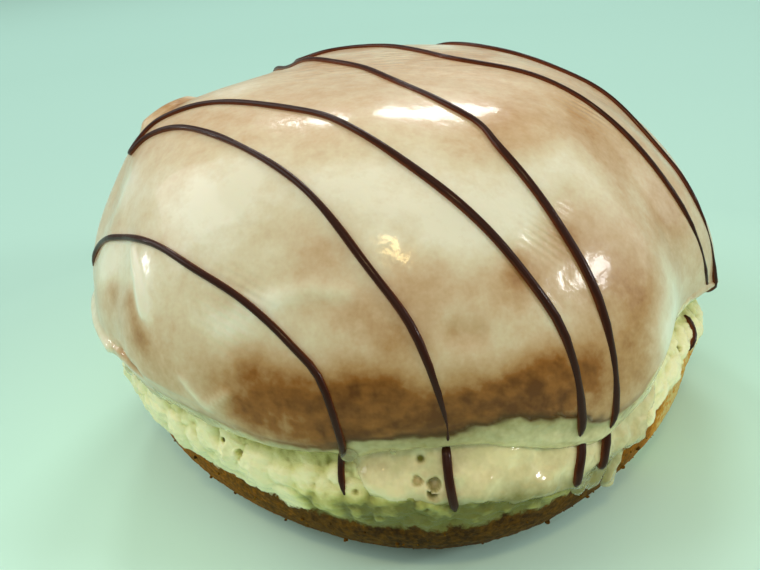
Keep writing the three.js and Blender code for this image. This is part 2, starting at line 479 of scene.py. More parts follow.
# Dark chocolate couverture, piped warm: nearly black and glossy, red-brown along its thin edges.
chocolateLook = {
    "thread": [(0.0, "#a4552a"), (0.45, "#6c3619"), (0.85, "#33170b")],
    "mottling": [(4.0, 0.3), (0.6, 0.2)],
    "surface": {
        "Roughness": 0.32,
        "IOR": 1.5,
        "Specular IOR Level": 0.08,
        "Coat Weight": 0.15,
        "Coat Roughness": 0.08,
    },
    "wrinkle": 1.2,
    "bumpStrength": 0.4,
    "bumpDepth": 0.15,
}


def darkChocolate():
    material, tree, surface = newMaterial("darkChocolate", chocolateLook["surface"])
    where = add(tree, "ShaderNodeTexCoord").outputs["Object"]
    crest = add(tree, "ShaderNodeAttribute", {"attribute_name": "crest"})
    thread = add(
        tree, "ShaderNodeValToRGB", {"stops": chocolateLook["thread"]},
        {"Fac": stirred(tree, where, crest.outputs["Fac"], chocolateLook["mottling"])})
    tree.links.new(thread.outputs["Color"], surface.inputs["Base Color"])
    wrinkle = add(
        tree, "ShaderNodeTexNoise", {"Scale": grain(chocolateLook["wrinkle"]), "Detail": 3.0},
        {"Vector": where})
    bump = add(
        tree, "ShaderNodeBump",
        {"Strength": chocolateLook["bumpStrength"], "Distance": chocolateLook["bumpDepth"] * millimetre},
        {"Height": wrinkle.outputs["Fac"]})
    tree.links.new(bump.outputs["Normal"], surface.inputs["Normal"])
    return material


# Glaze blown into a bubble: so thin that it is nearly clear.
clearLook = {"Base Color": colour("#f2f2dc"), "Roughness": 0.08, "IOR": 1.33, "Transmission Weight": 0.92}


def clearGlaze():
    return newMaterial("clearGlaze", clearLook)[0]


glazeMaterial = sugarGlaze()
doughMaterial = friedDough()
chocolateMaterial = darkChocolate()
clearMaterial = clearGlaze()
print("materials ready")

# the glaze: a closed skin that stands above the dough where there is glaze and is sunk in it elsewhere

glaze = {
    "rounds": 480,
    "rings": 190,
    "marks": [(0, 0), (0.58, 1), (0.72, 2), (0.95, 3.45), (1, 3.6)],
    "sunk": 0.7,
    # the station where the glaze ends round the doughnut
    "edge": [
        (-180, 2.15), (-170, 2.3), (-160, 2.4), (-155, 2.44), (-142, 2.3), (-129, 2.17), (-125, 2.14),
        (-119, 1.98), (-113, 1.85), (-105, 1.85), (-101, 2.15), (-97, 2.58), (-93, 2.68), (-84, 2.76),
        (-78, 2.9), (-70, 3.0), (-65, 3.2), (-61, 3.28), (-57.5, 3.38), (-54, 3.15), (-50, 2.6), (-45, 2.2),
        (-40, 1.9), (-30, 1.55), (-20, 1.5), (-8, 1.7), (6, 2.2), (14, 2.45), (22, 2.1), (35, 1.7), (44, 1.9),
        (52, 1.75), (66, 2.2), (78, 2.6), (86, 2.7), (95, 2.3), (108, 1.9), (120, 2.1), (135, 1.9),
        (150, 2.35), (160, 2.5), (170, 2.3), (180, 2.15),
    ],
    # the station where the browned top ends under it
    "brownEnd": [
        (-180, 1.5), (-150, 1.6), (-142, 1.65), (-129, 1.5), (-116, 1.4), (-111, 1.42), (-102, 1.55),
        (-99, 1.36), (-93, 1.49), (-87, 1.6), (-81, 1.45), (-78, 1.1), (-68, 1.02), (-64, 1.35), (-58, 1.25),
        (-52, 1.0), (-46, 1.05), (-38, 1.2), (-30, 1.35), (-10, 1.5), (30, 1.35), (70, 1.6), (110, 1.4),
        (150, 1.6), (180, 1.5),
    ],
    # how strong the painted shade is at the end of the browned top, under the overhang
    "wetEdge": [
        (-180, 0.1), (-140, 0.1), (-118, 0.25), (-104, 0.6), (-84, 0.9), (-66, 1.0), (-60, 0.5), (-50, 0.0),
        (0, 0.3), (60, 0.1), (100, 0.5), (140, 0.1), (180, 0.1),
    ],
    # how much of the browned top shows along its lower rim
    "rimBare": [
        (-180, 0.1), (-135, 0.0), (-122, 0.05), (-112, 0.05), (-102, 0.3), (-88, 0.5), (-76, 0.5), (-66, 0.3),
        (-56, 0.1), (-40, 0.0), (0, 0.2), (40, 0.1), (80, 0.3), (120, 0.1), (150, 0.25), (180, 0.1),
    ],
    # how pale the glaze is where it ran over the band
    "bandPale": [
        (-180, 0.6), (-120, 0.6), (-104, 0.5), (-92, 0.5), (-84, 0.45), (-68, 0.5), (-60, 0.5), (-50, 0.8),
        (-30, 0.9), (0, 0.6), (90, 0.5), (180, 0.6),
    ],
    "fade": 0.2,  # how many stations the edge takes to thin out
    "bead": 0.35,  # the swollen bead along the edge, in mm
    "beadWidth": 0.14,
    # how far the glaze fills the crease below the overhang, in mm, and where the crease lies
    "creaseFill": [
        (-180, 0.8), (-104, 0.8), (-96, 1.0), (-86, 1.4), (-64, 1.5), (-54, 1.0), (-46, 0.8), (68, 0.8),
        (82, 1.4), (94, 0.8), (180, 0.8),
    ],
    "creaseStation": 1.95,
    "creaseWidth": 0.12,
    "creaseSpread": 0.14,
    "creaseSmoothing": 10,
    # where the glaze low on the front of the band is darker and greener
    "lowDarker": [(-180, 0), (-100, 0), (-88, 0.7), (-64, 0.7), (-54, 0), (180, 0)],
    # waves in mm: all over, where the glaze ran over the band, and along the end of the browned top
    "swell": [(9, 0.042), (4, 0.015)],
    "runs": [(4.5, 0.5), (2.3, 0.55), (1.1, 0.18)],
    "brownWaver": [(1.3, 0.6), (3.5, 0.7)],
    # how the lower edge wavers: length in degrees, row of the noise, height in stations
    "edgeWaver": [(6, 4.2, 0.04), (2.2, 9.1, 0.03)],
    "pitShare": 1.2,  # how deep the small holes are in the glaze, against the dough
    # how strong the wet shine is: where the glaze is thin, where it is thick and on its runs
    "shineThin": 0.12,
    "shineThick": 0.5,
    "shineRuns": 0.7,
    "streaks": 3.0,  # how deep the drawn streaks at the top of the far side are
}


def glazeEdge(azimuth):
    waver = 0
    for length, row, height in glaze["edgeWaver"]:
        waver += height * noise.noise(Vector((azimuth / length, row, 0)))
    return around(azimuth, glaze["edge"]) + waver


# the dough: crumb band and browned base, and the dome under the glaze

dough = {
    "rounds": 560,
    "rings": 150,
    "marks": [(0, 0), (0.18, 1), (0.25, 2), (0.6, 3), (0.88, 4), (1, 5)],
    "glazeThickness": 0.5,
    "pillow": Vector((4.2, 4.2, 9)),  # width, depth and height of the soft folds of the band, mm
    "pillowDepth": 0.8,
    "pillowSeam": 0.6,  # a share of a fold's size
    "warp": 0.8,
    "warpLength": 3,
    "lump": 1.7,
    "lumpDepth": 0.3,
    "pore": 1.1,
    "poreWidth": 0.4,  # a share of the way from one pore to the next
    "poreDepth": 0.3,
    "crustGrain": 0.9,
    "crustDepth": 0.12,
    "ledge": 0.25,
    # how pale the crumb is, the painted light a raised spot gets and the painted shade a hollow gets, and the
    # painted shade taken off in the tuck under the overhang, low on the band and in holes
    "tone": 0.74,
    "reliefLightAndShade": 0.5,
    "tuckShade": 0.3,
    "lowShadeDepth": 0.8,
    "pitShade": 0.6,
    "crustBlend": 0.25,
    "teeth": 0.05,
    # the station of the brown crust's upper edge round the doughnut
    "crustEdge": [
        (-180, 2.75), (-160, 2.85), (-137, 2.92), (-128, 3.0), (-116, 3.02), (-109, 3.04), (-62, 3.02),
        (-55, 2.98), (-51, 2.69), (-46, 2.61), (-38, 2.74), (-30, 2.58), (-15, 2.7), (0, 2.85), (20, 2.75),
        (45, 2.92), (70, 3.0), (95, 2.9), (120, 2.75), (150, 2.85), (180, 2.75),
    ],
    # painted shade: where the crumb low on the band, just above the crust, is darker and grey-green
    "lowShade": [
        (-180, 0.0), (-112, 0.0), (-106, 0.8), (-92, 1.0), (-72, 0.9), (-60, 0.3), (-48, 0.0), (60, 0.0),
        (76, 0.8), (90, 0.6), (100, 0.0), (180, 0.0),
    ],
    # how pale the browned crust is: partly its own browning and partly painted shade, darkest on the front
    "crustTone": [
        (-180, 0.5), (-150, 0.55), (-128, 0.45), (-112, 0.32), (-90, 0.2), (-66, 0.26), (-50, 0.5),
        (-40, 0.95), (-20, 0.85), (10, 0.5), (50, 0.6), (90, 0.35), (130, 0.6), (180, 0.55),
    ],
}
# small holes where gas came out: azimuth, station, width and depth in mm
pits = [
    (-90.8, 2.4, 0.6, 0.9),
    (-88.6, 2.43, 0.76, 1.1),
    (-88.9, 2.52, 0.64, 0.8),
    (-90.2, 2.2, 0.56, 0.4),
    (-119, 2.33, 0.48, 0.8),
    (-122, 2.25, 0.4, 0.5),
    (-99.5, 2.48, 0.28, 0.4),
    (-37, 3.0, 1.12, 0.6),
    (-33, 2.4, 0.72, 0.6),
    (12, 2.6, 0.64, 0.7),
    (47, 2.5, 0.56, 0.8),
    (83, 2.4, 0.72, 0.8),
    (128, 2.5, 0.56, 0.7),
    (163, 2.45, 0.64, 0.8),
]

# where the surfaces are cut finer: azimuth, station and reach in mm
finePlaces = [(-89.5, 2.4, 4.0), (-120.5, 2.3, 2.5), (-57, 3.2, 3.0)]
pitSpots = [(skin(azimuth, station), width, depth) for azimuth, station, width, depth in pits]
pitForm = {"floor": 0.45, "mouth": 1.25, "ragged": 0.35}  # shares of a hole's width


# how deep a point lies in one of the small holes, 0 to 1, and how far that sinks it
def inPit(point):
    for spot, width, depth in pitSpots:
        away = (point - spot).length * (1 + pitForm["ragged"] * noise.noise(point * 1.3))
        if away < pitForm["mouth"] * width:
            share = 1 - soft(pitForm["floor"] * width, pitForm["mouth"] * width, away)
            return share, share * depth
    return 0.0, 0.0


def crustEdge(azimuth):
    teeth = dough["teeth"] * noise.fractal(Vector((azimuth / 3.0, 2.7, 0)), 0.8, 2.1, 3)
    return around(azimuth, dough["crustEdge"]) + teeth


# Soft pillows with creases between them, small pores and lumps.
def crumbRelief(point):
    warped = point + dough["warp"] * noise.noise_vector(point / dough["warpLength"])
    folded = Vector([length / size for length, size in zip(warped, dough["pillow"])])
    distances, _ = noise.voronoi(folded)
    pillow = math.sqrt(min(1.0, (distances[1] - distances[0]) / dough["pillowSeam"])) - 0.6
    distances, _ = noise.voronoi(point / dough["pore"])
    pore = min(1.0, distances[0] / dough["poreWidth"]) - 1
    lump = noise.fractal(point / dough["lump"], 0.8, 2.1, 3)
    return dough["pillowDepth"] * pillow + dough["poreDepth"] * pore + dough["lumpDepth"] * lump


def crustRelief(point):
    return dough["crustDepth"] * noise.fractal(point / dough["crustGrain"], 0.9, 2.1, 3)


def doughOut(azimuth, station, point):
    if station <= 1.9:
        return domeRelief(azimuth, station) - dough["glazeThickness"]
    if station > 4.02:
        return 0
    crumbShare = soft(1.95, 2.1, station) * (1 - soft(-0.05, 0.08, station - crustEdge(azimuth)))
    out = crumbShare * (crumbRelief(point) + dough["ledge"])
    out += (1 - crumbShare) * crustRelief(point) * soft(2.0, 2.2, station)
    covered = soft(0.1, 0.35, glazeEdge(azimuth) - station)
    return mix(out - inPit(point)[1], 0.2 * out - 2, covered)  # 2 mm in where glaze covers it


def makeDough():
    shape, places = makeSkin(dough, doughOut, finePlaces)
    layers = {name: shape.verts.layers.float.new(name) for name in ("crumbTone", "crustTone", "crusted")}
    for vert, (azimuth, station) in zip(shape.verts, places):
        vert.co.z = max(vert.co.z, 0)
        lift = (vert.co - skin(azimuth, station)).dot(outward(azimuth, station)) if 1.9 < station < 3.2 else 0
        # painted shade in the tuck under the overhang, low on the band and inside the holes; raised spots get
        # painted light and hollows painted shade
        shade = dough["tuckShade"] * (1 - soft(2.05, 2.45, station))
        shade += dough["lowShadeDepth"] * soft(2.35, 2.7, station) * around(azimuth, dough["lowShade"])
        shade += dough["pitShade"] * inPit(vert.co)[0]
        vert[layers["crumbTone"]] = dough["tone"] + dough["reliefLightAndShade"] * lift - shade
        # the crust's own browning with painted shade, darkest on the front
        vert[layers["crustTone"]] = around(azimuth, dough["crustTone"])
        past = (station - crustEdge(azimuth)) if station > 1.8 else 0.5
        vert[layers["crusted"]] = 0.5 + past / dough["crustBlend"]
    return finishPiece(shape, "dough", doughMaterial)


doughPiece = makeDough()
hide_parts("doughnut")

# swellings of the glaze that ran down over the band: azimuth, station, width and height in mm
swellings = [
    (-95, 2.45, 3.2, 0.7),
    (-84, 2.45, 3.6, 0.6),
    (-77, 2.15, 3.0, 0.6),
    (-71, 2.55, 3.6, 0.5),
    (-64, 2.2, 3.0, 0.3),
    (-58, 3.3, 1.6, 0.6),
    (12, 2.2, 3.5, 0.5),
    (80, 2.35, 4.0, 0.6),
    (157, 2.2, 3.5, 0.5),
]
swellingSpots = [(skin(azimuth, station), width, size) for azimuth, station, width, size in swellings]

# folds of the skin: points on the unrolled skin, width and height in mm
folds = [
    ([(-46.2, -11.6), (-45.6, -15), (-43.8, -19.6), (-41, -26.5)], 0.9, 0.75),
    ([(-37.9, -28.8), (-36, -31.5), (-34.6, -33.2)], 0.7, -0.5),
    ([(-33.2, -28.5), (-32.2, -31.5), (-31.4, -34)], 0.7, 0.4),
    ([(-26.5, -39.3), (-24, -41), (-21.1, -42.4)], 0.6, 0.35),
    ([(-14.5, -41.6), (-9.6, -42.3), (-5.8, -43.4)], 1.0, 0.25),
    ([(-33, -2.5), (-29.5, 0), (-27, 4)], 1.6, 1.1),
    ([(0.4, -41.6), (1.6, -41.3)], 2.2, -0.07),
    ([(5.3, -45.8), (7.4, -45.6)], 1.6, -0.35),
]
foldStations = (0.4, 1.4)
foldLines = [([skin(*place(x, y)) for x, y in points], width, size) for points, width, size in folds]

# finely scored patches of the glaze: middle in mm from the centre of the base, and width
hatchPlaces = [(15.4, -34.6, 40.7, 2.6), (24.5, -13.5, 48.3, 3.5), (-21, -39.5, 36.5, 4)]

# where the glaze lies thick and white, and where the crust shows through: middle, width and strength
creamPlaces = [
    (-21, -29, 47, 6, 0.25),
    (-36, -18, 44, 4, 0.4),
    (-4.6, -35, 46, 7, 0.25),
    (20, -26, 45, 7, 0.25),
    (10, -31.5, 45.5, 8, 0.3),
    (1.7, -37.5, 43.5, 9, 0.3),
    (-39, -22, 36.5, 4, 0.4),
    (-32.5, -31, 36, 4, 0.3),
    (-21.5, -39, 34.5, 4, 0.3),
    (-25, -38, 34, 4, 0.15),
    (-31.3, -23.5, 45, 5, 0.15),
    (-32.2, -32.3, 34.3, 1.6, 0.3),
    (-22.8, -5.6, 53, 5, 0.3),
    (-36.4, -24.2, 38.7, 4, 0.15),
    (-17, -40.5, 37, 4, 0.2),
    (-10, -43, 35, 4, 0.3),
    (-3.5, -45.5, 32, 5, 0.25),
    (9, -43.5, 33.5, 7, 0.3),
    (4, -46, 30, 4, 0.25),
    (19, -41, 29.5, 4, 0.15),
    (30, -32, 26, 5, 0.4),
    (-24, -31, 43.5, 9, 0.2),
    (-12, -33, 46.5, 7, 0.15),
    (28, -24, 39, 3, 0.15),
]
barePlaces = [
    (-38, -20, 41, 3, 0.2),
    (-32, -2, 51, 3, 0.4),
    (-35.8, 2, 49.4, 4, 0.9),
    (-9, -37, 43, 4, 0.25),
    (-14, -37, 42, 5, 0.05),
    (11.5, -40, 37.5, 3.2, 0.45),
    (10.5, -43.9, 33.4, 3.5, 0.2),
    (18, -42.4, 28, 3.5, 0.25),
    (4.6, -46.1, 30.9, 3, 0.25),
    (-19, -43.8, 25.2, 4, 0.25),
    (-38.9, -25.8, 34.2, 2.2, 0.22),
    (-35, -30.8, 33.3, 2, 0.35),
    (-34, -32.8, 31, 2.2, 0.3),
    (-20.8, -38.3, 37.5, 2.5, 0.15),
    (17.5, -34, 40.5, 3.5, 0.2),
    (-2, -45, 33.6, 3, 0.15),
    (14.5, -22.5, 49, 5, 0.25),
    (23.5, -18, 46, 5, 0.18),
    (22, -14, 48.5, 4, 0.08),
    (8, -28, 48.5, 5, 0.25),
    (-0.8, -35, 46, 3.5, 0.2),
    (25, -23, 43, 4, 0.15),
    (31, -23, 36.5, 5, 0.15),
    (34, -24, 31, 4, 0.1),
    (19.5, -33, 39.5, 5, 0.15),
    (25, -35.5, 32.5, 5, 0.3),
    (-19, -43, 28.5, 4.5, 0.22),
    (-14, -44.5, 28, 5, 0.12),
    (-23.5, -40, 31, 4, 0.2),
    (-24, -37, 36.5, 3, 0.05),
    (-5.7, -46, 28.5, 4.5, 0.34),
    (-9, -42, 37, 5, 0.2),
    (-38, -25.5, 35, 3, 0.1),
    (-34.5, -32, 31, 5, 0.05),
    (-30, -36, 29, 4, 0.15),
    (-3.5, -44, 35.5, 4, 0.25),
    (0, -40.5, 40, 4, 0.3),
    (6.5, -42, 37.5, 5, 0.3),
    (7.5, -46, 26, 5, 0.4),
    (13, -44.5, 26.5, 3.5, 0.35),
    (24.5, -39, 25, 4, 0.2),
    (18.5, -39, 33, 5, 0.12),
    (-6, -47, 25, 8, 0.3),
]

# how thick and white the glaze lies, from 0 where it is bare to 1
glazeTone = {
    "even": 0.65,
    "least": 0.1,
    "rim": (33.5, 27),  # the heights over which the browned top shows along its rim
    "farSide": (-5, 8),  # the y over which the far side starts, which is as uneven as the front
    "farPatch": 13,
    "farPatchShare": 0.35,
    "farRim": (33, 25),
    "farRimPatch": 10,
    "farRimShare": 0.4,
    "warp": 2.2,
    "warpLength": 7,
    "speckle": 1.4,
    "speckleShare": 0.13,
    "speckled": (0.15, 0.5),  # the tones over which the speckles fade
    # the folds get painted light on their ridges and painted shade in their dents
    "foldLightAndShade": 0.7,  # whiter on the ridges of the folds and browner in their dents
    "foldLightAndShadeMost": 0.25,
}


# how far a point is from a line through the given points
def awayFrom(point, line):
    nearest = math.inf
    for start, stop in zip(line, line[1:]):
        along = stop - start
        share = max(0.0, min(1.0, (point - start).dot(along) / along.length_squared))
        nearest = min(nearest, (point - start - along * share).length)
    return nearest


def foldRelief(point):
    total = 0
    for line, width, size in foldLines:
        if (point - line[0]).length < 25:
            total += size * hump(awayFrom(point, line), 0, width)
    return total


def glazeOut(azimuth, station, point):
    full = waves(point, glaze["swell"])
    edge = glazeEdge(azimuth)
    if station > 1.2:
        full += waves(point, glaze["runs"]) * soft(1.5, 1.9, station)
        fill = around(azimuth, glaze["creaseFill"])
        creaseWidth = glaze["creaseWidth"] + glaze["creaseSpread"] * fill
        crease = hump(station, glaze["creaseStation"], creaseWidth)
        full += fill * crease * soft(glaze["creaseStation"], 2.3, edge)
        full += glaze["bead"] * hump(station, edge - glaze["fade"], glaze["beadWidth"])
        for spot, width, size in swellingSpots:
            away = (point - spot).length
            if away < 3 * width:
                full += size * hump(away, 0, width)
        full -= inPit(point)[1] * glaze["pitShare"]
    else:
        full += domeRelief(azimuth, station)
    if foldStations[0] < station < foldStations[1]:
        full += foldRelief(point)
    inside = max(0.0, min(1.0, (edge - station) / glaze["fade"]))
    rounded = math.sqrt(1 - (1 - inside) ** 2)
    return mix(-glaze["sunk"], full, rounded)


# The strengths of the places near a point, each a middle, a width and a strength.
def spread(point, places):
    total = 0
    for x, y, z, width, size in places:
        away = (point.x - x) ** 2 + (point.y - y) ** 2 + (point.z - z) ** 2
        if away < 9 * width * width:
            total += size * math.exp(-away / width**2)
    return total


def creamAt(point, azimuth):
    warped = point + glazeTone["warp"] * noise.noise_vector(point / glazeTone["warpLength"])
    total = glazeTone["even"] + spread(warped, creamPlaces) - spread(warped, barePlaces)
    total -= soft(*glazeTone["rim"], point.z) * around(azimuth, glaze["rimBare"])
    far = soft(*glazeTone["farSide"], point.y)
    if far > 0:
        patches = noise.fractal(point / glazeTone["farPatch"], 0.8, 2.0, 3)
        total += glazeTone["farPatchShare"] * patches * far
        bare = 0.6 + noise.noise(point / glazeTone["farRimPatch"])
        total -= glazeTone["farRimShare"] * soft(*glazeTone["farRim"], point.z) * far * bare
    total = max(total, glazeTone["least"])
    speckles = noise.fractal(point / glazeTone["speckle"], 0.7, 2.1, 2)
    return total + glazeTone["speckleShare"] * speckles * (1 - soft(*glazeTone["speckled"], total))


def makeGlaze():
    shape, places = makeSkin(glaze, glazeOut, finePlaces)
    crease = [vert for vert, (azimuth, station) in zip(shape.verts, places)
              if 1.3 < station < 2.15 + 0.2 * soft(2.2, 2.6, glazeEdge(azimuth))]
    for _ in range(glaze["creaseSmoothing"]):
        bmesh.ops.smooth_vert(
            shape, verts=crease, factor=0.5, use_axis_x=True, use_axis_y=True, use_axis_z=True)
    layers = {name: shape.verts.layers.float.new(name) for name in glazeLayers}
    scoredSpots = [(*patch, 1) for patch in hatchPlaces]
    paleSpots = [(*spot, width * 1.2, size * 0.8) for spot, width, size in swellingSpots]
    for vert, (azimuth, station) in zip(shape.verts, places):
        cream = creamAt(vert.co, azimuth)
        # painted light on fold ridges and painted shade in their dents
        if foldStations[0] < station < foldStations[1]:
            foldShading = glazeTone["foldLightAndShade"] * foldRelief(skin(azimuth, station))
            cream += max(-glazeTone["foldLightAndShadeMost"], min(glazeTone["foldLightAndShadeMost"], foldShading))
        vert[layers["cream"]] = cream
        shine = mix(glaze["shineThin"], glaze["shineThick"], soft(0.1, 0.6, cream))
        if station > 0.8:
            past = runFrom(azimuth, around(azimuth, glaze["brownEnd"]), station)
            past += waves(vert.co, glaze["brownWaver"])
            # painted shade under the overhang: dark at the end of the browned top, and an olive shade that
            # takes some paleness off the glaze just below it
            wetShineAndShade = around(azimuth, glaze["wetEdge"])
            vert[layers["overBand"]] = soft(-0.35, 0.45, past)
            vert[layers["wetEdge"]] = wetShineAndShade * hump(past, -0.1, 0.6)
            pale = around(azimuth, glaze["bandPale"]) - 0.2 * wetShineAndShade * hump(past, 1.2, 1.4)
            pale -= around(azimuth, glaze["lowDarker"]) * soft(2.45, 2.75, station)
            vert[layers["bandCream"]] = pale + spread(vert.co, paleSpots)
            # how deep a vertex lies in a hole: its painted shade, and less shine
            pit = inPit(vert.co)[0]
            vert[layers["pit"]] = pit
            shine = max(shine, glaze["shineRuns"] * soft(0.3, 1.5, past)) * (1 - 0.8 * pit)
        vert[layers["shine"]] = shine
        vert[layers["hatch"]] = spread(vert.co, scoredSpots)
        vert[layers["drawn"]] = glaze["streaks"] * soft(-16, 6, vert.co.y) * soft(30, 44, vert.co.z)
    return finishPiece(shape, "glaze", glazeMaterial)


glazePiece = makeGlaze()


def surfaceTree(piece):
    shape = bmesh.new()
    shape.from_mesh(piece.data)
    tree = BVHTree.FromBMesh(shape)
    shape.free()
    return tree


coats = [surfaceTree(doughPiece), surfaceTree(glazePiece)]


# The outermost surface over a place of the skin, in mm, and its way out.
def surfaceAt(azimuth, station):
    out = outward(azimuth, station)
    height = 3  # the ray starts this far above the skin and ends as far below it
    start = skin(azimuth, station) + out * height
    hits = [coat.ray_cast(start * millimetre, -out, 2 * height * millimetre) for coat in coats]
    hits = [hit for hit in hits if hit[0] is not None]
    if not hits:
        return skin(azimuth, station), out
    nearest = min(hits, key=lambda hit: hit[3])
    return nearest[0] / millimetre, out


# the chocolate drizzle: points on the unrolled skin, one wherever a line bends

drizzle = {
    "radius": 0.42,
    "rise": 0.2,
    "step": 0.9,
    "sides": 12,
    "flatness": 0.9,
    "tip": 0.15,
    "uneven": 0.14,
    # the lines are thicker at the front, less so on the left than on the right
    "thickerLeft": 0.06,
    "thickerRight": 0.38,
    "neckLength": 2.0,
    "neckReach": 5,
    # for each line its points, the lengths over which its ends taper, and its necks: the x of each,
    # how far it lies past the rim and the share of the width that is lost there
    "lines": [
        ([(-45, -13.4), (-43.5, -15.4), (-40.3, -19.6), (-38, -22.3), (-35.9, -24.6), (-32.5, -28),
          (-28.4, -31.8), (-23.4, -36.5), (-17.8, -40.6), (-12.6, -44.2), (-9, -46.6), (-9.4, -50),
          (-11.3, -54.4), (-11.6, -58.2)], (2.5, 2.0), []),
        ([(4.2, -61.6), (3.4, -57.6), (3.4, -53), (3, -48.2), (1, -46), (-3.2, -41.8), (-8.4, -32.6),
          (-14.5, -24.8), (-22.5, -16.2), (-28.2, -12.6), (-31.8, -11.2), (-34.4, -10.7), (-35.8, -9.8),
          (-34.4, -9.2), (-32.4, -8.4), (-30, -7.2), (-25.5, -8.3), (-18.3, -10.5), (-10.4, -15.7),
          (-3.6, -21.3), (1.3, -27.5), (8.6, -36), (14.2, -41), (18, -43.2), (19.6, -46.5), (22.2, -50.4),
          (22.2, -54.2), (23, -57.6)], (0.8, 1.2),
         [(3, 2.4, 0.9), (20.5, 4.5, 0.85)]),
        ([(28.5, -55.2), (27, -52), (26.6, -49), (23.6, -43.5), (22.4, -39.2), (20, -35.2), (16.2, -28),
          (15, -24), (11.6, -19.3), (7.4, -12.4), (2.8, -2.6), (-2.4, 4.2), (-7, 11), (-11.5, 18.5),
          (-16, 26.5), (-19, 33), (-22, 40), (-20.5, 42.5), (-17.5, 38), (-13, 29.5), (-9.3, 22.5),
          (-5.5, 19.5), (0, 17.5), (6.2, 12.5), (11.4, 5.5), (16.1, -1), (24.4, -5.5), (30.2, -11.2),
          (36.2, -17.2), (39, -19.7), (42, -19.3)], (0.8, 0.8), [(26.8, 3.6, 0.9)]),
        ([(48, -16.4), (44.5, -17), (41.8, -15), (41.5, -9), (38.3, -3.2), (33, 2.8), (26.5, 8.5), (19.5, 14),
          (14.5, 21), (10.5, 30), (6, 39), (3, 47), (7, 50), (15, 45), (25, 35), (35, 22), (39.8, 14),
          (42.2, 9.3), (44, 6.5), (46, 5), (49, 4), (53, 3)], (0.8, 1.0), []),
        ([(48.3, -22.1), (49.5, -22.9), (49.7, -25), (49.2, -27.9)], (1.0, 1.2), []),
    ],
}


# Points at even steps along a smooth line through the given ones.
def smoothLine(points, step):
    ends = [points[0] * 2 - points[1]] + points + [points[-1] * 2 - points[-2]]
    fine = []
    for before, start, stop, after in zip(ends, ends[1:], ends[2:], ends[3:]):
        count = max(2, round((stop - start).length / step))
        for i in range(count):
            t = i / count
            bend = start * 2 + (stop - before) * t + (before * 2 - start * 5 + stop * 4 - after) * t**2
            bend += (start * 3 - before - stop * 3 + after) * t**3
            fine.append(bend / 2)
    return fine + [points[-1]]


# A thread of round section laid on the surface; the share of the section that stands up is kept in "crest".
def layThread(shape, crestLayer, points, widthAt):
    flat = smoothLine([Vector((x, y, 0)) for x, y in points], drizzle["step"])
    last = len(flat) - 1
    spots, ways = [], []
    for i, spot in enumerate(flat):
        on, out = surfaceAt(*place(spot.x, spot.y))
        spots.append(on + out * drizzle["rise"] * min(1.0, widthAt(i, last, spot)))
        ways.append(out)
    for _ in range(2):
        spots = [spots[0]] + [
            (a + b * 2 + c) / 4 for a, b, c in zip(spots, spots[1:], spots[2:])] + [spots[-1]]
    sides = drizzle["sides"]
    rings = []
    for i, (spot, out) in enumerate(zip(spots, ways)):
        ahead = (spots[min(i + 1, last)] - spots[max(i - 1, 0)]).normalized()
        across = ahead.cross(out).normalized()
        up = across.cross(ahead) * drizzle["flatness"]
        size = drizzle["radius"] * widthAt(i, last, flat[i])
        ring = []
        for k in range(sides):
            turn = 2 * math.pi * k / sides
            vert = shape.verts.new(spot + across * (size * math.cos(turn)) + up * (size * math.sin(turn)))
            vert[crestLayer] = 0.5 + 0.5 * math.sin(turn)
            ring.append(vert)
        rings.append(ring)
    for ring, following in zip(rings, rings[1:]):
        for k in range(sides):
            shape.faces.new((ring[k], ring[(k + 1) % sides], following[(k + 1) % sides], following[k]))
    for ring in (rings[0], rings[-1]):
        tip = shape.verts.new(sum((vert.co for vert in ring), Vector()) / sides)
        tip[crestLayer] = 0.5
        for k in range(sides):
            shape.faces.new((ring[k], ring[(k + 1) % sides], tip))


# How wide a line is along its length, as a share of the radius.
def drizzleWidth(index, ends, necks):
    def widthAt(i, last, spot):
        taper = 1
        for steps, end in ((i, ends[0]), (last - i, ends[1])):
            taper *= math.sqrt(min(1.0, (steps * drizzle["step"] + drizzle["tip"]) / end))
        front = 1 - soft(-46, -18, spot.y)
        thicker = 1 + mix(drizzle["thickerLeft"], drizzle["thickerRight"], soft(-8, 16, spot.x)) * front
        past = spot.length - form["rimRadius"]
        for x, middle, size in necks:
            narrow = hump(past, middle, drizzle["neckLength"]) * hump(spot.x, x, drizzle["neckReach"])
            thicker *= 1 - size * narrow
        return taper * thicker * (1 + drizzle["uneven"] * noise.noise(Vector((i * 0.16, index * 7.3, 0))))
    return widthAt


def makeDrizzle():
    shape = bmesh.new()
    crestLayer = shape.verts.layers.float.new("crest")
    for index, (points, ends, necks) in enumerate(drizzle["lines"]):
        layThread(shape, crestLayer, points, drizzleWidth(index, ends, necks))
    bmesh.ops.recalc_face_normals(shape, faces=shape.faces)
    return finishPiece(shape, "drizzle", chocolateMaterial)


makeDrizzle()

# loose crumbs that stick to the crust

crumbs = {
    "count": 170,
    "smallest": 0.1,
    "largest": 0.36,
    "rarity": 2.5,  # how rare the large ones are
    "stations": (3.05, 3.75),
    "raised": 0.4,
    "ragged": 0.35,
    "tones": (0.1, 0.5),
    "seed": 11,
}


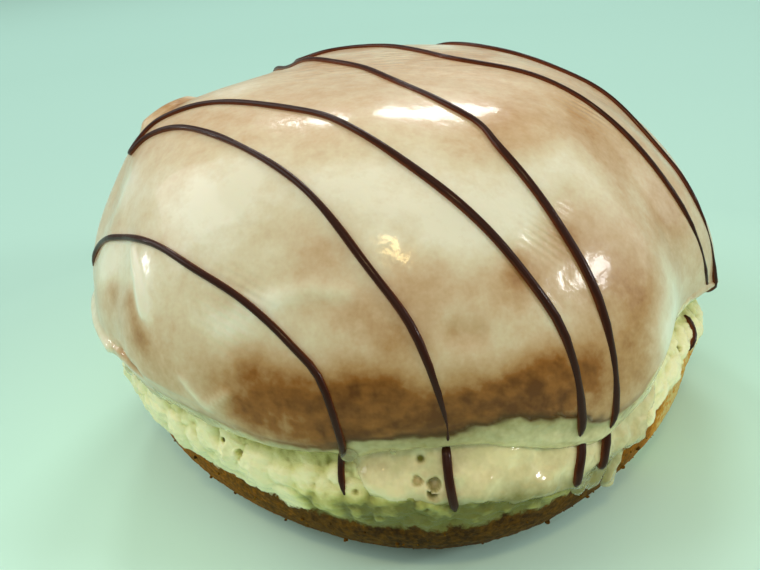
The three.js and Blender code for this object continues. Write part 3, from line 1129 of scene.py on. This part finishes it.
def makeCrumbs():
    chance = random.Random(crumbs["seed"])
    shape = bmesh.new()
    toneLayer = shape.verts.layers.float.new("crustTone")
    crustedLayer = shape.verts.layers.float.new("crusted")
    for _ in range(crumbs["count"]):
        azimuth = chance.uniform(-180, 180)
        station = chance.uniform(*crumbs["stations"])
        on, out = surfaceAt(azimuth, station)
        size = mix(crumbs["smallest"], crumbs["largest"], chance.random() ** crumbs["rarity"])
        turn = Matrix.Rotation(chance.uniform(0, 6), 4, "X") @ Matrix.Rotation(chance.uniform(0, 6), 4, "Z")
        stretch = Matrix.Diagonal((1, chance.uniform(0.6, 1.1), chance.uniform(0.5, 0.9), 1))
        seat = Matrix.Translation(on + out * size * crumbs["raised"])
        made = bmesh.ops.create_icosphere(shape, subdivisions=2, radius=size, matrix=seat @ turn @ stretch)
        for vert in made["verts"]:
            vert.co += noise.noise_vector(vert.co * 3) * size * crumbs["ragged"]
            vert[toneLayer] = chance.uniform(*crumbs["tones"])
            vert[crustedLayer] = 1
    return finishPiece(shape, "crumbs", doughMaterial)


makeCrumbs()

# a few bubbles in the glaze: azimuth, station, radius and how far the middle lies below the surface, in mm
bubbles = [(-99.6, 2.09, 1.1, 0.35), (-93.5, 2.12, 0.45, 0.1), (-84, 2.1, 0.4, 0.1), (77, 2.1, 0.8, 0.1)]


def makeBubbles():
    shape = bmesh.new()
    for azimuth, station, size, sunk in bubbles:
        on, out = surfaceAt(azimuth, station)
        bmesh.ops.create_icosphere(
            shape, subdivisions=4, radius=size, matrix=Matrix.Translation(on - out * sunk))
    return finishPiece(shape, "bubbles", clearMaterial)


makeBubbles()

# the stage: a pale floor with painted light on it, soft studio lights and the camera

stage = {
    # painted light on the paper: palest at its middle, just in front of the doughnut where its shadow falls,
    # darker far away
    "floor": [(0.0, "#d4fcec"), (0.12, "#c4f0df"), (0.3, "#aed8cb"), (0.6, "#a8d2c6"), (1.0, "#a3cdc1")],
    "palest": (0.0, -0.06, 0.0),
    "near": 0.03,
    "far": 0.4,
    "halfWidth": 3.0,
    "world": "#eeece4",
    "worldStrength": 0.37,
    "middle": Vector((0, 0, 0.03)),
}


# Matt paper with painted light: paler just in front of the doughnut, where it lifts the doughnut's shadow,
# and duller far away where the light falls off.
def paperWithPaintedLight():
    material, tree, surface = newMaterial("paperWithPaintedLight", {"Roughness": 0.9, "Specular IOR Level": 0.1})
    where = add(tree, "ShaderNodeTexCoord").outputs["Object"]
    aside = add(tree, "ShaderNodeVectorMath", {"operation": "SUBTRACT", 1: stage["palest"]}, {0: where})
    away = add(tree, "ShaderNodeVectorMath", {"operation": "LENGTH"}, {0: aside.outputs["Vector"]})
    share = add(
        tree, "ShaderNodeMapRange", {"From Min": stage["near"], "From Max": stage["far"]},
        {"Value": away.outputs["Value"]})
    paper = add(tree, "ShaderNodeValToRGB", {"stops": stage["floor"]}, {"Fac": share.outputs[0]})
    tree.links.new(paper.outputs["Color"], surface.inputs["Base Color"])
    return material


def makeFloor():
    shape = bmesh.new()
    bmesh.ops.create_grid(shape, x_segments=1, y_segments=1, size=stage["halfWidth"])
    mesh = bpy.data.meshes.new("floor")
    shape.to_mesh(mesh)
    shape.free()
    mesh.materials.append(paperWithPaintedLight())
    floor = bpy.data.objects.new("floor", mesh)
    bpy.context.scene.collection.objects.link(floor)


def makeWorld():
    world = bpy.data.worlds.new("studio")
    world.use_nodes = True
    background = world.node_tree.nodes["Background"]
    background.inputs["Color"].default_value = colour(stage["world"])
    background.inputs["Strength"].default_value = stage["worldStrength"]
    bpy.context.scene.world = world


# azimuth and elevation of each light from the doughnut in degrees, sizes and distance in metres, power in W
lights = {
    "leftPane": {"azimuth": 104, "elevation": 45, "away": 0.9, "width": 0.12, "height": 0.14, "power": 0.9},
    "rightPane": {"azimuth": 76, "elevation": 42, "away": 0.9, "width": 0.24, "height": 0.16, "power": 1.71},
    "lampRight": {"azimuth": -15, "elevation": 24.5, "away": 0.9, "width": 0.17, "height": 0.09,
                  "power": 1.44, "shape": "ELLIPSE"},
    "lampUpper": {"azimuth": -8, "elevation": 40, "away": 0.9, "width": 0.07, "height": 0.07, "power": 0.32,
                  "shape": "ELLIPSE"},
    "lampLeft": {"azimuth": 170, "elevation": 9, "away": 0.9, "width": 0.08, "height": 0.08, "power": 0.45,
                 "shape": "ELLIPSE"},
    "lampFront": {"azimuth": -92, "elevation": 60, "away": 0.9, "width": 0.13, "height": 0.07, "power": 0.9,
                  "shape": "ELLIPSE", "colour": "#ffdc96"},
    "ceiling": {"azimuth": 100, "elevation": 75, "away": 1.2, "width": 0.9, "height": 0.9, "power": 1.17,
                "colour": "#fff6e6"},
    "softLeft": {"azimuth": 172, "elevation": 38, "away": 1.2, "width": 0.9, "height": 0.7, "power": 5.58},
    "softRight": {"azimuth": 6, "elevation": 20, "away": 1.2, "width": 0.9, "height": 0.7, "power": 2.07},
    "softFront": {"azimuth": -90, "elevation": 50, "away": 1.3, "width": 1.6, "height": 1.2, "power": 2.7},
}


def makeLights():
    for name, lamp in lights.items():
        light = bpy.data.lights.new(name, "AREA")
        light.shape = lamp.get("shape", "RECTANGLE")
        light.size = lamp["width"]
        light.size_y = lamp["height"]
        light.energy = lamp["power"]
        light.color = colour(lamp.get("colour", "#ffffff"))[:3]
        azimuth = math.radians(lamp["azimuth"])
        elevation = math.radians(lamp["elevation"])
        level = math.cos(elevation)
        towards = Vector((level * math.cos(azimuth), level * math.sin(azimuth), math.sin(elevation)))
        holder = bpy.data.objects.new(name, light)
        holder.location = stage["middle"] + towards * lamp["away"]
        holder.rotation_euler = towards.to_track_quat("Z", "Y").to_euler()
        bpy.context.scene.collection.objects.link(holder)


# the camera stands in front and looks down on the doughnut, rolled a little; degrees and mm
view = {
    "elevation": 26.5,
    "roll": -5.8,
    "away": 131.4,
    "aimHeight": 20.0,
    "aimX": -4.25,
    "aimY": -4.04,
    "focal": 807.4,  # in pixels of a picture 760 wide
    "pictureWidth": 760,
    "sensor": 36.0,
}


def makeCamera():
    elevation = math.radians(view["elevation"])
    height = view["away"] * math.sin(elevation) + view["aimHeight"]
    eye = Vector((0, -view["away"] * math.cos(elevation), height))
    aim = Vector((view["aimX"], view["aimY"], view["aimHeight"]))
    ahead = (aim - eye).normalized()
    level = ahead.cross(Vector((0, 0, 1))).normalized()
    roll = math.radians(view["roll"])
    right = level * math.cos(roll) + level.cross(ahead) * math.sin(roll)
    up = right.cross(ahead)
    camera = bpy.data.cameras.new("camera")
    camera.sensor_width = view["sensor"]
    camera.lens = view["focal"] / view["pictureWidth"] * view["sensor"]
    camera.clip_start = 0.01
    camera.clip_end = 20
    holder = bpy.data.objects.new("camera", camera)
    holder.matrix_world = Matrix.Translation((eye - form["middle"]) * millimetre) @ Matrix(
        (right, up, -ahead)).transposed().to_4x4()
    bpy.context.scene.collection.objects.link(holder)
    bpy.context.scene.camera = holder


makeFloor()
makeWorld()
makeLights()
makeCamera()
bpy.context.scene.view_settings.view_transform = "Standard"
print("floor, lights and camera ready")

bpy.context.view_layer.update()
